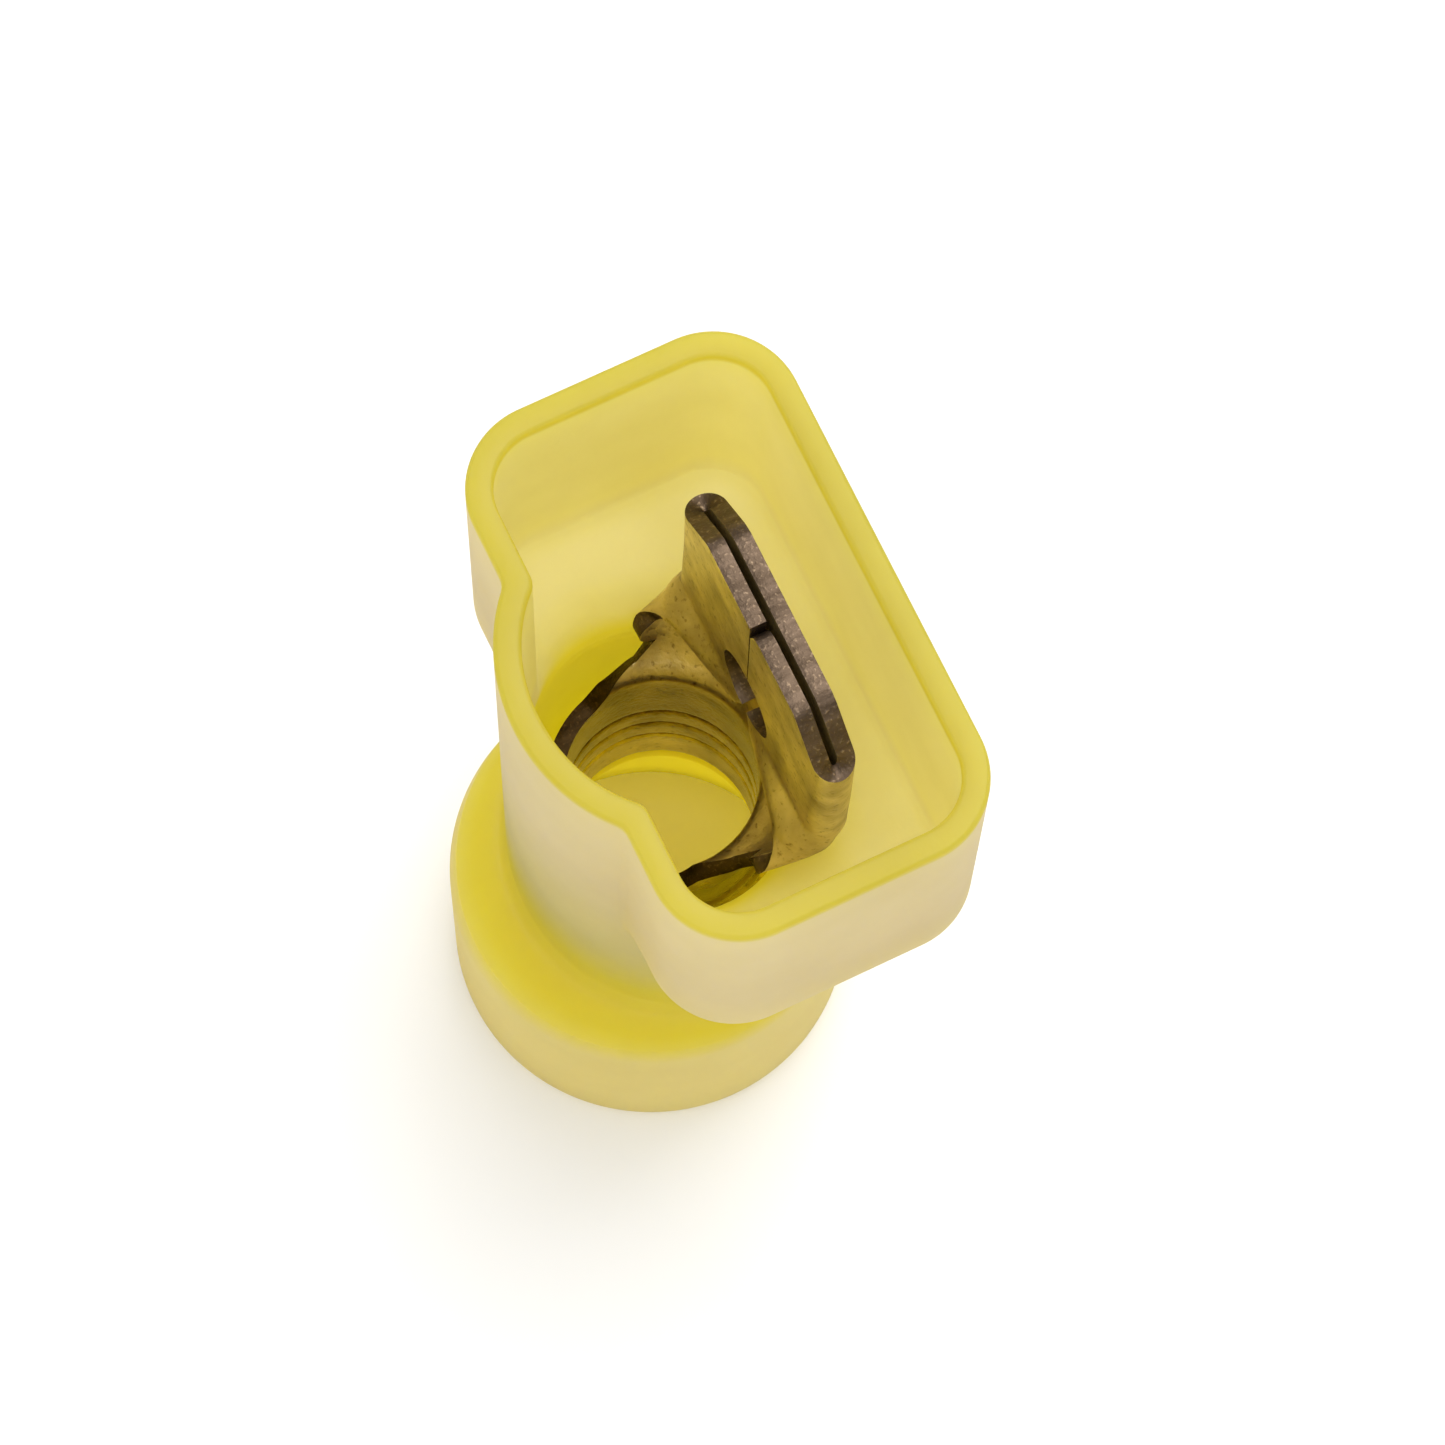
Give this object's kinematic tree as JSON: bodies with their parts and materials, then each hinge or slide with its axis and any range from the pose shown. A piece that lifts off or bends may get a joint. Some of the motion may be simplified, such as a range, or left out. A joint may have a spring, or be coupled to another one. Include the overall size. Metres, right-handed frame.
{
  "type": "insulated male tab terminal",
  "caption": "Nylon-insulated male blade quick-disconnect terminal: a flat folded tab inside a rectangular hood, a serrated crimp barrel behind it, and a round wire-entry bell.",
  "frame": {"origin": "bottom centre of the part's box, on the plane of the wire entry's end face, which the part stands on; the crimp barrel's axis passes 0.3 mm toward -Y from it", "axes": "+Z runs from the wire entry to the mouth, along the barrel; X is the tab's width; the tab's contact face looks toward +Y and the crimp seam toward -Y"},
  "size_m": [0.0114, 0.0092, 0.0192],
  "materials": {
    "nylon": "translucent yellow nylon, satin",
    "tinned_brass": "dull plated sheet brass with darker cut edges"
  },
  "bodies": {
    "root": {"nylon_housing": "nylon", "blade_terminal": "tinned_brass"}
  },
  "joints": []
}
